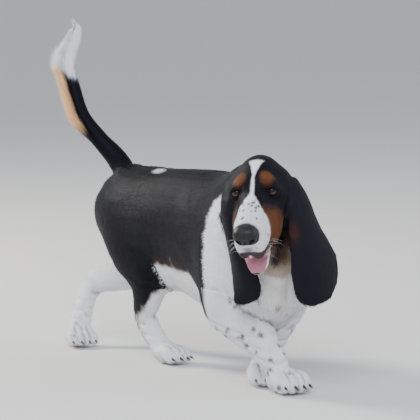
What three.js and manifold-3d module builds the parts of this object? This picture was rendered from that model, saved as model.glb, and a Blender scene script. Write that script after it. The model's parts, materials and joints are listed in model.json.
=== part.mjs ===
// A walking basset hound at life size, divided into the parts a person would name.
// Millimetres, +Z up. The dog walks towards -Y, turning to its own right (-X), with +X on its left.
// Flesh is drawn as one smooth distance field of rounded forms, meshed part by part, and parted by thin cuts.
import * as THREE from "three";
import Module from "manifold-3d";

// Driving dimensions
const GAP = 0.3; // between parts that touch
const SOLE_HEIGHT = 0; // the floor
const HEAD_YAW = 41; // the face turns this far to the dog's right of -Y, in degrees
const HEAD_PITCH = 29; // the muzzle points this far below level
const HEAD_ROLL = 5; // the left eye is the higher one
const EYE_LINE = [-112, -345, 362]; // the point midway between the eyes
const EYE_SPACING = 61;
const EYE_RADIUS = 11.5;
const EAR_THICKNESS = 7;
const JAW_OPENING = 29; // degrees
const JAW_HINGE = [0, -50, -38]; // in the head's frame
const BLEND_SOFT = 40; // how widely large forms run into each other
const BLEND_FIRM = 14;

const v3 = (a) => new THREE.Vector3(a[0], a[1], a[2]);
const rad = THREE.MathUtils.degToRad;

const wasm = await Module();
wasm.setup();

// Distance fields. A form is a function of a point, negative inside.
function smoothMin(a, b, k) {
  const h = Math.max(k - Math.abs(a - b), 0) / k;
  return Math.min(a, b) - (h * h * k) / 4;
}

function joined(forms, k) {
  return (p) => forms.reduce((d, form) => smoothMin(d, form(p), k), 1e3);
}

function carved(form, hole, k) {
  return (p) => -smoothMin(-form(p), hole(p), k);
}

// An ellipsoid. turn is a list of degrees about x, y and z.
function ball(centre, radii, turn = [0, 0, 0]) {
  const c = v3(centre);
  const r = v3(radii);
  const back = new THREE.Quaternion()
    .setFromEuler(new THREE.Euler(...turn.map(rad), "ZYX"))
    .invert();
  const q = new THREE.Vector3();
  return (p) => {
    q.copy(p).sub(c).applyQuaternion(back).divide(r);
    const k0 = q.length();
    const k1 = q.divide(r).length();
    return k1 > 1e-9 ? (k0 * (k0 - 1)) / k1 : -Math.min(...radii);
  };
}

// A tapering body along a smooth line. Each station is [x, y, z, half width, half depth].
// The width is measured along side, and the depth across both side and the line.
function tube(stations, side = [1, 0, 0], steps = 4, k = 3) {
  const line = new THREE.CatmullRomCurve3(stations.map(v3), false, "centripetal");
  const sizes = new THREE.CatmullRomCurve3(
    stations.map((s) => new THREE.Vector3(s[3], s[4], 0)),
    false,
    "catmullrom",
  );
  const count = (stations.length - 1) * steps;
  const pieces = [];
  for (let i = 0; i < count; i++) {
    const a = line.getPoint(i / count);
    const b = line.getPoint((i + 1) / count);
    const along = b.clone().sub(a);
    const length = along.length();
    along.divideScalar(length);
    const across = v3(side).addScaledVector(along, -v3(side).dot(along)).normalize();
    const deep = new THREE.Vector3().crossVectors(along, across);
    const sa = sizes.getPoint(i / count);
    const sb = sizes.getPoint((i + 1) / count);
    pieces.push({ a, along, length, across, deep, sa, sb });
  }
  const o = new THREE.Vector3();
  return (p) => {
    let d = 1e3;
    for (const s of pieces) {
      o.copy(p).sub(s.a);
      const t = THREE.MathUtils.clamp(o.dot(s.along) / s.length, 0, 1);
      o.addScaledVector(s.along, -t * s.length);
      const w = s.sa.x + (s.sb.x - s.sa.x) * t;
      const h = s.sa.y + (s.sb.y - s.sa.y) * t;
      const m = Math.min(w, h);
      const x = o.dot(s.across) / w;
      const z = o.dot(s.deep) / h;
      const y = o.dot(s.along) / m;
      d = smoothMin(d, (Math.hypot(x, y, z) - 1) * m, k);
    }
    return d;
  };
}

// The same form in a frame of its own, such as the head's.
function placed(form, matrix) {
  const back = matrix.clone().invert();
  const q = new THREE.Vector3();
  return (p) => form(q.copy(p).applyMatrix4(back).clone());
}

function mirrored(form) {
  const q = new THREE.Vector3();
  return (p) => form(q.set(-p.x, p.y, p.z).clone());
}

// Meshes the surface of a form between two corners, on a grid of about that step.
// Gives the solid, and the same solid grown outwards by a gap for cutting its neighbours clear.
function netSolids(form, low, high, step) {
  const n = low.map((v, i) => Math.ceil((high[i] - v) / step) + 1);
  const size = low.map((v, i) => (high[i] - v) / (n[i] - 1));
  const at = (i, j, k) => (k * n[1] + j) * n[0] + i;
  const values = new Float32Array(n[0] * n[1] * n[2]);
  const p = new THREE.Vector3();
  for (let k = 0; k < n[2]; k++)
    for (let j = 0; j < n[1]; j++)
      for (let i = 0; i < n[0]; i++) {
        const edge = !i || !j || !k || i === n[0] - 1 || j === n[1] - 1 || k === n[2] - 1;
        p.set(low[0] + i * size[0], low[1] + j * size[1], low[2] + k * size[2]);
        values[at(i, j, k)] = edge ? Math.max(form(p), step / 8) : form(p);
      }
  unpinch(values, n, step);
  const points = [];
  const grown = [];
  const cellPoint = new Map();
  const corner = [0, 1, 2, 3, 4, 5, 6, 7].map((c) => [c & 1, (c >> 1) & 1, c >> 2]);
  const edges = [];
  for (let a = 0; a < 8; a++)
    for (const bit of [1, 2, 4]) if (!(a & bit)) edges.push([a, a | bit]);
  for (let k = 0; k < n[2] - 1; k++)
    for (let j = 0; j < n[1] - 1; j++)
      for (let i = 0; i < n[0] - 1; i++) {
        const v = corner.map(([a, b, c]) => values[at(i + a, j + b, k + c)]);
        const inside = v.filter((x) => x < 0).length;
        if (!inside || inside === 8) continue;
        const sum = [0, 0, 0];
        let crossings = 0;
        for (const [a, b] of edges) {
          if (v[a] < 0 === v[b] < 0) continue;
          const t = v[a] / (v[a] - v[b]);
          for (let q = 0; q < 3; q++) sum[q] += corner[a][q] + t * (corner[b][q] - corner[a][q]);
          crossings++;
        }
        const point = new THREE.Vector3(
          low[0] + (i + sum[0] / crossings) * size[0],
          low[1] + (j + sum[1] / crossings) * size[1],
          low[2] + (k + sum[2] / crossings) * size[2],
        );
        const rim = !i || !j || !k || i === n[0] - 2 || j === n[1] - 2 || k === n[2] - 2;
        const out = settle(point, form, rim ? 0 : step * 0.45);
        cellPoint.set(at(i, j, k), points.length / 3);
        points.push(point.x, point.y, point.z);
        point.addScaledVector(out, GAP);
        grown.push(point.x, point.y, point.z);
      }
  const faces = [];
  const strides = [1, n[0], n[0] * n[1]];
  for (let k = 0; k < n[2] - 1; k++)
    for (let j = 0; j < n[1] - 1; j++)
      for (let i = 0; i < n[0] - 1; i++)
        for (let axis = 0; axis < 3; axis++) {
          const here = at(i, j, k);
          const inNow = values[here] < 0;
          if (inNow === values[here + strides[axis]] < 0) continue;
          const s1 = strides[(axis + 1) % 3];
          const s2 = strides[(axis + 2) % 3];
          const ring = [here - s1 - s2, here - s2, here, here - s1].map((c) => cellPoint.get(c));
          const [a, b, c, d] = inNow ? ring : ring.slice().reverse();
          faces.push(...shorterSplit(points, a, b, c, d));
        }
  return { solid: solidFrom(points, faces), grown: solidFrom(grown, faces) };
}

// Where a grid square has inside and outside corners crosswise, its least certain corner changes side,
// so that no two sheets of the surface share an edge.
function unpinch(values, n, step) {
  const strides = [1, n[0], n[0] * n[1]];
  let changed = true;
  for (let round = 0; changed && round < 12; round++) {
    changed = false;
    for (let k = 0; k < n[2]; k++)
      for (let j = 0; j < n[1]; j++)
        for (let i = 0; i < n[0]; i++)
          for (let axis = 0; axis < 3; axis++) {
            const [q, r] = [(axis + 1) % 3, (axis + 2) % 3];
            const place = [i, j, k];
            if (place[q] === n[q] - 1 || place[r] === n[r] - 1) continue;
            const here = (k * n[1] + j) * n[0] + i;
            const square = [here, here + strides[q], here + strides[q] + strides[r], here + strides[r]];
            const inside = square.map((c) => values[c] < 0);
            if (inside[0] !== inside[2] || inside[1] !== inside[3] || inside[0] === inside[1]) continue;
            const outer = square.filter((c) => values[c] >= 0);
            const weakest = Math.abs(values[outer[0]]) < Math.abs(values[outer[1]]) ? outer[0] : outer[1];
            values[weakest] = -step / 20;
            changed = true;
          }
  }
}

function solidFrom(points, faces) {
  const vertProperties = new Float32Array(points);
  const triVerts = new Uint32Array(faces);
  return new wasm.Manifold(new wasm.Mesh({ numProp: 3, vertProperties, triVerts }));
}

// Moves a point onto the form's surface, no further than reach, and gives the way out.
function settle(point, form, reach) {
  const start = point.clone();
  const probe = new THREE.Vector3();
  const slope = new THREE.Vector3();
  for (let round = 0; round < 3; round++) {
    const d = form(point);
    for (const axis of ["x", "y", "z"]) {
      probe.copy(point);
      probe[axis] += 0.5;
      slope[axis] = (form(probe) - d) / 0.5;
    }
    const steep = Math.max(slope.lengthSq(), 0.05);
    point.addScaledVector(slope, -d / steep);
  }
  const moved = point.clone().sub(start);
  if (moved.length() > reach) point.copy(start).addScaledVector(moved, reach / moved.length());
  return slope.normalize();
}

function shorterSplit(points, a, b, c, d) {
  const gap = (m, n) => {
    const [i, j] = [m * 3, n * 3];
    return Math.hypot(points[i] - points[j], points[i + 1] - points[j + 1], points[i + 2] - points[j + 2]);
  };
  return gap(a, c) < gap(b, d) ? [a, b, c, a, c, d] : [b, c, d, b, d, a];
}

// Half of space on the side that normal points to, starting half a gap beyond the plane.
function halfSpace(point, normal) {
  const reach = 1500;
  const box = new THREE.BoxGeometry(reach, reach, reach).translate(0, 0, (reach + GAP) / 2);
  const turn = new THREE.Quaternion().setFromUnitVectors(
    new THREE.Vector3(0, 0, 1),
    v3(normal).normalize(),
  );
  box.applyQuaternion(turn).translate(point[0], point[1], point[2]);
  return solidOf(box);
}

function solidOf(geometry) {
  const flat = geometry.index ? geometry.toNonIndexed() : geometry;
  const position = flat.getAttribute("position").array;
  const seen = new Map();
  const points = [];
  const faces = [];
  for (let i = 0; i < position.length; i += 3) {
    const key = [0, 1, 2].map((q) => Math.round(position[i + q] * 1e3)).join();
    if (!seen.has(key)) {
      seen.set(key, points.length / 3);
      points.push(position[i], position[i + 1], position[i + 2]);
    }
    faces.push(seen.get(key));
  }
  return solidFrom(points, faces);
}

function largestBody(solid) {
  return solid.decompose().sort((a, b) => b.volume() - a.volume())[0];
}

const dog = new THREE.Group();
const solids = new Map();

function addNode(name, solid, material) {
  const whole = largestBody(solid);
  solids.set(name, whole);
  const made = whole.getMesh();
  const points = new Float32Array(made.numVert * 3);
  for (let i = 0; i < made.numVert; i++)
    for (let q = 0; q < 3; q++) points[i * 3 + q] = made.vertProperties[i * made.numProp + q];
  const geometry = new THREE.BufferGeometry()
    .setAttribute("position", new THREE.BufferAttribute(points, 3))
    .setIndex(new THREE.BufferAttribute(new Uint32Array(made.triVerts), 1));
  geometry.computeVertexNormals();
  const mesh = new THREE.Mesh(geometry, material);
  mesh.name = name;
  dog.add(mesh);
}

const paint = (colour, roughness) =>
  new THREE.MeshStandardMaterial({ color: colour, roughness, metalness: 0 });
const blackCoat = paint(0x17161b, 0.55);
const whiteCoat = paint(0xd9d6d2, 0.7);
const tanCoat = paint(0x8a4a22, 0.65);
const noseSkin = paint(0x1a1a1e, 0.35);
const tongueSkin = paint(0xc97f8c, 0.4);
const eyeGlass = paint(0x2a1710, 0.1);
const clawHorn = paint(0x242022, 0.45);

// Torso: stations from rump to forechest along the bent back
const TORSO = [
  [-24, 322, 272, 38, 44],
  [-18, 296, 277, 62, 70],
  [-8, 240, 282, 77, 84],
  [0, 175, 275, 78, 92],
  [5, 100, 261, 84, 109],
  [9, 25, 252, 93, 121],
  [9, -50, 245, 101, 129],
  [5, -120, 241, 103, 134],
  [-1, -180, 237, 97, 136],
  [-9, -232, 234, 82, 114],
  [-15, -270, 236, 54, 78],
];
const torsoForm = tube(TORSO, [1, 0, 0], 4, 4);

// Legs: each chain of stations runs from inside the body to the pastern
const HIND_RIGHT = [
  [-50, 226, 278, 36, 58],
  [-60, 204, 232, 38, 66],
  [-60, 142, 182, 32, 58],
  [-51, 150, 130, 25, 42],
  [-43, 176, 88, 19, 27],
  [-38, 156, 58, 20, 22],
  [-32, 132, 32, 21, 19],
];
const HIND_LEFT = [
  [36, 232, 276, 36, 56],
  [34, 246, 220, 37, 62],
  [6, 276, 172, 31, 50],
  [-16, 350, 142, 21, 32],
  [-33, 416, 116, 18, 25],
  [-52, 408, 76, 19, 22],
  [-70, 398, 34, 22, 20],
];
const FORE_RIGHT = [
  [-72, -186, 276, 30, 50],
  [-80, -184, 205, 29, 46],
  [-82, -184, 145, 29, 38],
  [-64, -212, 114, 26, 29],
  [-42, -244, 88, 25, 26],
  [-22, -264, 56, 25, 24],
];
const FORE_LEFT = [
  [66, -180, 276, 30, 50],
  [74, -172, 205, 29, 46],
  [74, -160, 140, 28, 37],
  [48, -166, 102, 25, 28],
  [22, -175, 68, 23, 24],
  [8, -182, 42, 23, 22],
];
const PAWS = {
  hind_right: { centre: [-24, 106], heading: -14, scale: 0.92 },
  hind_left: { centre: [-76, 386], heading: 6, scale: 0.92 },
  fore_right: { centre: [-8, -281], heading: -4, scale: 1.04 },
  fore_left: { centre: [0, -190], heading: 12, scale: 0.95 },
};

// A paw in its own frame: heading along +y, resting on z = 0
const TOES = [-1.5, -0.5, 0.5, 1.5].map((i) => ({
  knuckle: [i * 14, 2 - Math.abs(i) * 3, 27],
  tip: [i * 17, 33 - Math.abs(i) * 7, 13],
}));
function pawForm(scale) {
  const toes = TOES.map(({ knuckle, tip }) => tube([
    [...knuckle, 11, 12],
    [(knuckle[0] + tip[0]) / 2, (knuckle[1] + tip[1]) / 2 + 3, 25, 11.5, 12.5],
    [...tip, 10.5, 11],
  ]));
  const heel = ball([0, -12, 20], [27, 28, 22]);
  const whole = joined([heel, joined(toes, 3)], 8);
  const q = new THREE.Vector3();
  return (p) => scale * whole(q.copy(p).divideScalar(scale).clone());
}
function pawMatrix({ centre, heading }) {
  // Heading 0 is -Y, and a positive heading turns to the dog's right.
  return new THREE.Matrix4()
    .makeRotationZ(rad(180 - heading))
    .setPosition(centre[0], centre[1], SOLE_HEIGHT);
}

// Head frame: x to the dog's right, y along the muzzle, z up from it, origin between the eyes
const headMatrix = new THREE.Matrix4()
  .makeRotationZ(rad(180 - HEAD_YAW))
  .multiply(new THREE.Matrix4().makeRotationX(rad(-HEAD_PITCH)))
  .multiply(new THREE.Matrix4().makeRotationY(rad(HEAD_ROLL)));
headMatrix.setPosition(...EYE_LINE);
const fromHead = (a) => v3(a).applyMatrix4(headMatrix).toArray();

const both = (form) => [form, mirrored(form)];
const eyeCentre = [EYE_SPACING / 2, -7, 0];
const upperHead = joined(
  [
    ball([0, -44, -2], [37, 59, 37]),
    ball([0, -38, -14], [45, 54, 26]),
    ball([0, -98, -12], [12, 17, 15]),
    tube([
      [0, -20, -4, 29, 26],
      [0, 25, -9, 23, 24],
      [0, 70, -14, 22, 23],
      [0, 102, -16, 20, 20],
    ]),
    ...both(ball([23, -8, 14], [16, 16, 11])),
    ...both(ball([34, -40, -26], [22, 46, 34])),
    ...both(ball([21, 72, -46], [8, 38, 27], [-6, 0, 4])),
    ...both(ball([29, 24, -48], [12, 42, 31], [-8, 0, 4])),
    ball([0, 100, -44], [15, 8, 26]),
  ],
  14,
);
const mouthHollow = joined(
  [
    ball([0, 52, -70], [16, 66, 30], [-8, 0, 0]),
    ball([0, 92, -84], [14, 30, 14]),
  ],
  10,
);
const lids = joined(both(ball(eyeCentre, [16, 14.5, 14])), 1);
const headLocal = carved(joined([upperHead, lids], 5), mouthHollow, 6);
const headForm = placed(headLocal, headMatrix);

const NECK = [
  [...fromHead([0, -66, -34]), 42, 40],
  [-50, -250, 352, 54, 58],
  [-26, -205, 322, 70, 82],
  [-6, -165, 275, 84, 104],
];
const DEWLAP = [
  [...fromHead([0, -15, -66]), 26, 22],
  [-66, -292, 282, 27, 26],
  [-42, -280, 240, 32, 30],
  [-24, -262, 200, 40, 34],
];
const neckForm = joined([tube(NECK, [0.85, -0.5, 0]), tube(DEWLAP, [0.85, -0.5, 0])], 26);

const TAIL = [
  [-14, 262, 316, 28, 30],
  [-28, 310, 373, 22, 23],
  [-53, 336, 412, 17.5, 19],
  [-75.5, 367.5, 459, 15, 16],
  [-83, 394, 517, 15.5, 16.5],
  [-86, 410, 546, 15.5, 17],
  [-78, 417, 575, 15.5, 17],
  [-66, 419, 604, 14, 16],
  [-58, 419, 622, 9, 10],
  [-67, 428, 635, 4, 4],
];
const tailForm = tube(TAIL);

const chains = {
  hind_right: tube(HIND_RIGHT),
  hind_left: tube(HIND_LEFT, [1, 0.1, 0]),
  fore_right: tube(FORE_RIGHT),
  fore_left: tube(FORE_LEFT),
};
const upperChains = {
  hind_right: tube(HIND_RIGHT.slice(0, 4)),
  hind_left: tube(HIND_LEFT.slice(0, 4), [1, 0.1, 0]),
  fore_right: tube(FORE_RIGHT.slice(0, 4)),
  fore_left: tube(FORE_LEFT.slice(0, 4)),
};
// The trunk and neck, then each leg run into them on its own, so that no two legs web together.
const core = joined([torsoForm, neckForm], BLEND_SOFT);
const pawForms = {};
const legForms = {};
const limbForms = {};
for (const name of Object.keys(PAWS)) {
  pawForms[name] = placed(pawForm(PAWS[name].scale), pawMatrix(PAWS[name]));
  limbForms[name] = joined([chains[name], pawForms[name]], BLEND_FIRM);
  legForms[name] = (p) => smoothMin(core(p), limbForms[name](p), BLEND_SOFT);
}
const trunkForm = (p) =>
  Math.min(...Object.keys(PAWS).map((name) => smoothMin(core(p), upperChains[name](p), BLEND_SOFT)));
const trunkAndTail = (p) => smoothMin(trunkForm(p), tailForm(p), 24);
const neckAndHead = joined([neckForm, headForm], 26);
const neckAndTrunk = joined([trunkForm, headForm], 26);

// Cuts between the parts: a point, and the way out of the torso
const headWay = (a) => v3(a).transformDirection(headMatrix).toArray();
const CUTS = {
  neck: [[-30, -232, 322], [-0.28, -0.72, 0.63]],
  head: [fromHead([0, -95, -30]), headWay([0, 0.5, 0.87])],
  tail: [[-19, 300, 350], [-0.2, 0.5, 0.84]],
  thigh_right: [[-10, 230, 200], [-1, -0.37, 0]],
  thigh_left: [[-10, 230, 200], [1, 0.37, 0]],
  shank_right: [[-58, 160, 150], [0.1, 0.1, -1]],
  shank_left: [[-2, 318, 156], [-0.2, 1, -0.3]],
  paw_hind_right: [[-28, 138, 40], [0.2, -0.75, -0.62]],
  paw_hind_left: [[-64, 402, 46], [-0.3, -0.2, -1]],
  paw_fore_right: [[-24, -262, 62], [0.5, -0.5, -0.7]],
  paw_fore_left: [[12, -182, 52], [-0.5, -0.3, -0.8]],
};
const beyond = (name) => halfSpace(...CUTS[name]);
const before = (name) => halfSpace(CUTS[name][0], CUTS[name][1].map((x) => -x));
const aboveFloor = halfSpace([0, 0, SOLE_HEIGHT - GAP / 2], [0, 0, 1]);

// A leg parts from the trunk where it stands out more than the trunk does, below its top.
const LEGS = {
  fore_right: { low: [-140, -300, -10], high: [60, -100, 250], top: 165 },
  fore_left: { low: [-70, -290, -10], high: [140, -80, 250], top: 165 },
  hind_right: { low: [-130, 50, -10], high: [10, 310, 300], top: 215 },
  hind_left: { low: [-110, 150, -10], high: [120, 460, 300], top: 215 },
};
for (const [name, leg] of Object.entries(LEGS)) {
  const divide = (p) => limbForms[name](p) - core(p) + Math.max(0, p.z - leg.top) - 3;
  leg.region = netSolids(divide, leg.low, leg.high, 26);
}

// Trunk, neck and tail
let torso = netSolids(trunkAndTail, [-150, -330, 60], [150, 370, 420], 26).solid;
for (const leg of Object.values(LEGS)) torso = torso.subtract(leg.region.grown);
addNode("torso", torso.intersect(before("neck")).intersect(before("tail")), blackCoat);

const neck = netSolids(neckAndTrunk, [-160, -350, 150], [130, -90, 450], 19);
addNode("neck", neck.solid.intersect(beyond("neck")).intersect(before("head")), blackCoat);

const tailNet = netSolids(trunkAndTail, [-115, 240, 300], [30, 460, 650], 15).solid;
const tailFlesh = tailNet.intersect(beyond("tail"));
const TAIL_JOINTS = [
  [[-58, 369, 465], [-0.25, 0.5, 0.83]],
  [[-77, 415, 556], [0.05, 0.15, 1]],
];
const tailCut = (i, sign) => halfSpace(TAIL_JOINTS[i][0], TAIL_JOINTS[i][1].map((x) => sign * x));

// The brush: flat locks along the tail's hind side, tapering and lying towards its tip
const BRUSH_SIDE = v3([-0.86, 0.5, 0]);
const BRUSH_ACROSS = v3([0.5, 0.86, 0]);
const LOCK_LENGTH = 52;
const LOCK_WIDTH = 22;
const LOCK_FLATNESS = 0.42;
const tailLine = new THREE.CatmullRomCurve3(TAIL.map(v3), false, "centripetal");
function lockSolid({ root, way, length }, extra = 0) {
  const lock = new THREE.CylinderGeometry(0.5 + extra, LOCK_WIDTH / 2 + extra, length + extra, 4, 2);
  const position = lock.getAttribute("position");
  for (let i = 0; i < position.count; i++) {
    const along = position.getY(i) + length / 2;
    const bend = (0.1 * along * along) / length;
    position.setXYZ(i, position.getX(i) - bend, along, position.getZ(i) * LOCK_FLATNESS);
  }
  const wide = new THREE.Vector3().crossVectors(way, BRUSH_ACROSS).normalize();
  const thin = new THREE.Vector3().crossVectors(wide, way);
  lock.applyMatrix4(new THREE.Matrix4().makeBasis(wide, way, thin));
  return solidOf(lock.translate(root.x, root.y, root.z));
}
function brush(from, to, count) {
  return [...Array(count).keys()].map((i) => {
    const t = from + ((to - from) * (i + 0.5)) / count;
    const swing = ((i % 3) - 1) * 0.35;
    const side = BRUSH_SIDE.clone().addScaledVector(BRUSH_ACROSS, swing).normalize();
    const way = tailLine.getTangent(t).addScaledVector(side, 1 - t / 2).normalize();
    const root = tailLine.getPoint(t).addScaledVector(side, 3);
    return { root, way, length: LOCK_LENGTH + 5 * ((i * 7) % 3) };
  });
}
// The last locks crown the tip
const tipEnd = v3(TAIL[TAIL.length - 3]);
const crown = [-0.4, 0, 0.4].map((lean) => {
  const way = new THREE.Vector3(0, 0, 1).addScaledVector(BRUSH_SIDE, 0.4).addScaledVector(BRUSH_ACROSS, lean);
  return { root: tipEnd, way: way.normalize(), length: LOCK_LENGTH };
});
const brushes = [brush(0.18, 0.33, 3), brush(0.34, 0.58, 6), [...brush(0.6, 0.74, 3), ...crown]];
const fleshes = [
  tailFlesh.intersect(tailCut(0, -1)),
  tailFlesh.intersect(tailCut(0, 1)).intersect(tailCut(1, -1)),
  tailFlesh.intersect(tailCut(1, 1)),
];
["tail_base", "tail_middle", "tail_tip"].forEach((name, part) => {
  let solid = fleshes[part];
  for (const lock of brushes[part]) solid = solid.add(lockSolid(lock));
  for (const lock of brushes.slice(0, part).flat()) solid = solid.subtract(lockSolid(lock, GAP * 2));
  addNode(name, solid, part < 2 ? blackCoat : whiteCoat);
});

// Legs and paws
const PAW_BOX_REACH = 62;
const CLAW_NAMES = {
  fore_right: "front_right",
  fore_left: "front_left",
  hind_right: "hind_right",
  hind_left: "hind_left",
};
for (const [name, { low, high, region }] of Object.entries(LEGS)) {
  const leg = netSolids(legForms[name], low, high, name.startsWith("fore") ? 14.5 : 16)
    .solid.intersect(region.solid)
    .intersect(before("paw_" + name));
  const [end, side] = name.split("_");
  if (end === "fore") {
    addNode("foreleg_" + side, leg, whiteCoat);
  } else {
    const thigh = leg.intersect(before("shank_" + side)).intersect(beyond("thigh_" + side));
    addNode("thigh_" + side, thigh, blackCoat);
    addNode("hindleg_" + side, leg.intersect(beyond("shank_" + side)), whiteCoat);
  }
  const { centre, scale } = PAWS[name];
  const reach = PAW_BOX_REACH * scale;
  const corner = [centre[0] - reach, centre[1] - reach, -10];
  const paw = netSolids(limbForms[name], corner, [centre[0] + reach, centre[1] + reach, 92], 10);
  const pawSolid = paw.solid.intersect(beyond("paw_" + name)).intersect(aboveFloor);
  addNode((end === "fore" ? "forepaw_" : "hindpaw_") + side, pawSolid, whiteCoat);
  TOES.forEach(({ tip }, i) => {
    const claw = clawSolid(tip, scale, pawMatrix(PAWS[name]));
    addNode(`claw_${CLAW_NAMES[name]}_${i + 1}`, claw.subtract(paw.grown), clawHorn);
  });
}

// A claw: a cone that curves down, its root inside the toe
function clawSolid(tip, scale, matrix) {
  const cone = new THREE.ConeGeometry(3.6, 19, 6, 2);
  const position = cone.getAttribute("position");
  for (let i = 0; i < position.count; i++) {
    const along = position.getY(i) + 11;
    const drop = (along * along) / 60;
    const z = position.getZ(i) * 1.25;
    position.setXYZ(i, position.getX(i), along, z - drop);
  }
  cone.translate(tip[0], tip[1] + 3, tip[2] + 4);
  cone.scale(scale, scale, scale).applyMatrix4(matrix);
  return solidOf(cone);
}

// Head
const wholeHead = netSolids(neckAndHead, [-240, -470, 230], [20, -220, 460], 10.5);
const ball3 = (centre, radii, turn = [0, 0, 0]) =>
  solidOf(
    new THREE.SphereGeometry(1, 12, 9)
      .scale(...radii)
      .applyMatrix4(new THREE.Matrix4().makeRotationFromEuler(new THREE.Euler(...turn.map(rad), "ZYX")))
      .translate(...centre)
      .applyMatrix4(headMatrix),
  );
let headSolid = wholeHead.solid.intersect(beyond("head"));
for (const side of [-1, 1]) {
  const centre = [side * eyeCentre[0], eyeCentre[1], eyeCentre[2]];
  const socket = EYE_RADIUS + GAP;
  headSolid = headSolid.subtract(ball3(centre, [socket, socket, socket]));
  const opening = [side * (EYE_SPACING / 2 + 1.5), 9, -2];
  headSolid = headSolid.subtract(ball3(opening, [9.5, 11, 6.5], [0, side * 10, 0]));
  addNode(side > 0 ? "eye_right" : "eye_left", ball3(centre, [EYE_RADIUS, EYE_RADIUS, EYE_RADIUS]), eyeGlass);
}
addNode("head", headSolid, whiteCoat);

// Lower jaw, tongue and nose
const jawMatrix = new THREE.Matrix4()
  .makeTranslation(...JAW_HINGE)
  .multiply(new THREE.Matrix4().makeRotationX(rad(-JAW_OPENING)))
  .premultiply(headMatrix);
const jawShape = carved(
  tube([
    [1, 20, -12, 22, 15],
    [4, 70, -14, 20, 13],
    [5, 112, -15, 20, 12],
    [5, 134, -14, 15, 10],
  ]),
  ball([4, 92, 6], [15.5, 60, 14], [3, 0, 0]),
  6,
);
const jaw = netSolids(placed(jawShape, jawMatrix), [-240, -470, 170], [20, -260, 400], 9.5);
addNode("jaw", jaw.solid.subtract(wholeHead.grown).intersect(beyond("head")), whiteCoat);
const tongueShape = tube([
  [4, 44, 2, 13, 5],
  [5, 92, 9, 18, 6],
  [5, 128, 8, 20, 6.5],
  [5, 145, -2, 17, 6.5],
]);
const tongue = netSolids(placed(tongueShape, jawMatrix), [-240, -470, 170], [20, -260, 400], 10);
addNode("tongue", tongue.solid.subtract(wholeHead.grown).subtract(jaw.grown), tongueSkin);

let nose = ball3([0, 108, -11], [22, 15.5, 19], [-14, 0, 0]);
for (const side of [-1, 1]) nose = nose.subtract(ball3([side * 11, 121, -13], [4, 6, 5]));
addNode("nose", nose.subtract(wholeHead.grown), noseSkin);

// Ears: each a thick sheet through front, middle and rear lines from root to tip
const EARS = {
  left: [
    [[-37, -330, 374], [-22, -325, 384], [-6, -315, 368]],
    [[-54, -357, 350], [-25, -353, 360], [10, -320, 344]],
    [[-52, -360, 302], [-19, -366, 311], [32, -324, 297]],
    [[-47, -358, 251], [-5, -369, 250], [63, -332, 242]],
    [[-42, -355, 211], [-1, -364, 199], [59, -341, 201]],
    [[-32, -351, 180], [-4, -353, 163], [41, -349, 173]],
  ],
  right: [
    [[-117, -293, 375], [-120, -273, 381], [-106, -257, 368]],
    [[-137, -313, 338], [-138, -283, 339], [-110, -246, 335]],
    [[-130, -318, 295], [-135, -291, 296], [-103, -245, 290]],
    [[-107, -315, 253], [-123, -298, 252], [-102, -250, 247]],
    [[-84, -318, 209], [-105, -308, 205], [-107, -266, 205]],
    [[-82, -315, 180], [-101, -302, 167], [-114, -281, 168]],
  ],
};
function earSolid(lines) {
  const down = 12;
  const across = 7;
  const curves = [0, 1, 2].map(
    (c) => new THREE.CatmullRomCurve3(lines.map((row) => v3(row[c])), false, "centripetal"),
  );
  const grid = [];
  for (let i = 0; i <= down; i++) {
    const [front, middle, rear] = curves.map((curve) => curve.getPoint(i / down));
    const bow = new THREE.QuadraticBezierCurve3(
      front,
      middle.clone().multiplyScalar(2).addScaledVector(front, -0.5).addScaledVector(rear, -0.5),
      rear,
    );
    grid.push([...Array(across + 1).keys()].map((j) => bow.getPoint(j / across)));
  }
  const at = (i, j) => grid[THREE.MathUtils.clamp(i, 0, down)][THREE.MathUtils.clamp(j, 0, across)];
  const points = [];
  for (const face of [1, -1])
    for (let i = 0; i <= down; i++)
      for (let j = 0; j <= across; j++) {
        const a = at(i + 1, j).clone().sub(at(i - 1, j));
        const b = at(i, j + 1).clone().sub(at(i, j - 1));
        const normal = a.cross(b).normalize();
        const rim = i === down || j === 0 || j === across;
        const half = (EAR_THICKNESS / 2) * (rim ? 0.4 : 1);
        points.push(...at(i, j).clone().addScaledVector(normal, face * half).toArray());
      }
  const width = across + 1;
  const sheet = (down + 1) * width;
  const faces = [];
  for (let i = 0; i < down; i++)
    for (let j = 0; j < across; j++) {
      const a = i * width + j;
      const [b, c, d] = [a + 1, a + width + 1, a + width];
      faces.push(a, d, c, a, c, b);
      faces.push(a + sheet, c + sheet, d + sheet, a + sheet, b + sheet, c + sheet);
    }
  const rim = [];
  for (let j = 0; j < across; j++) rim.push(j);
  for (let i = 0; i < down; i++) rim.push(i * width + across);
  for (let j = across; j > 0; j--) rim.push(down * width + j);
  for (let i = down; i > 0; i--) rim.push(i * width);
  rim.forEach((a, k) => {
    const b = rim[(k + 1) % rim.length];
    faces.push(a, b, b + sheet, a, b + sheet, a + sheet);
  });
  return solidFrom(points, faces);
}
for (const side of ["left", "right"]) {
  let ear = earSolid(EARS[side]);
  for (const neighbour of [wholeHead, neck, jaw, tongue]) ear = ear.subtract(neighbour.grown);
  addNode("ear_" + side, ear, blackCoat);
}

// The origin goes to the middle of the bounds, on the floor
const bounds = new THREE.Box3().setFromObject(dog);
const middle = bounds.getCenter(new THREE.Vector3());
for (const mesh of dog.children) mesh.geometry.translate(-middle.x, -middle.y, -bounds.min.z);

export default dog;
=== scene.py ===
"""Dresses the walking basset hound.

One skin covers the flesh, with a short coat of solid tufts on it. The eyes, nose, tongue and claws are
finer pieces in the place of their solids, and the whiskers are added.
"""

import json
import math

import bpy
import numpy as np
from mathutils import Euler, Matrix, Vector
from mathutils.bvhtree import BVHTree

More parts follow.
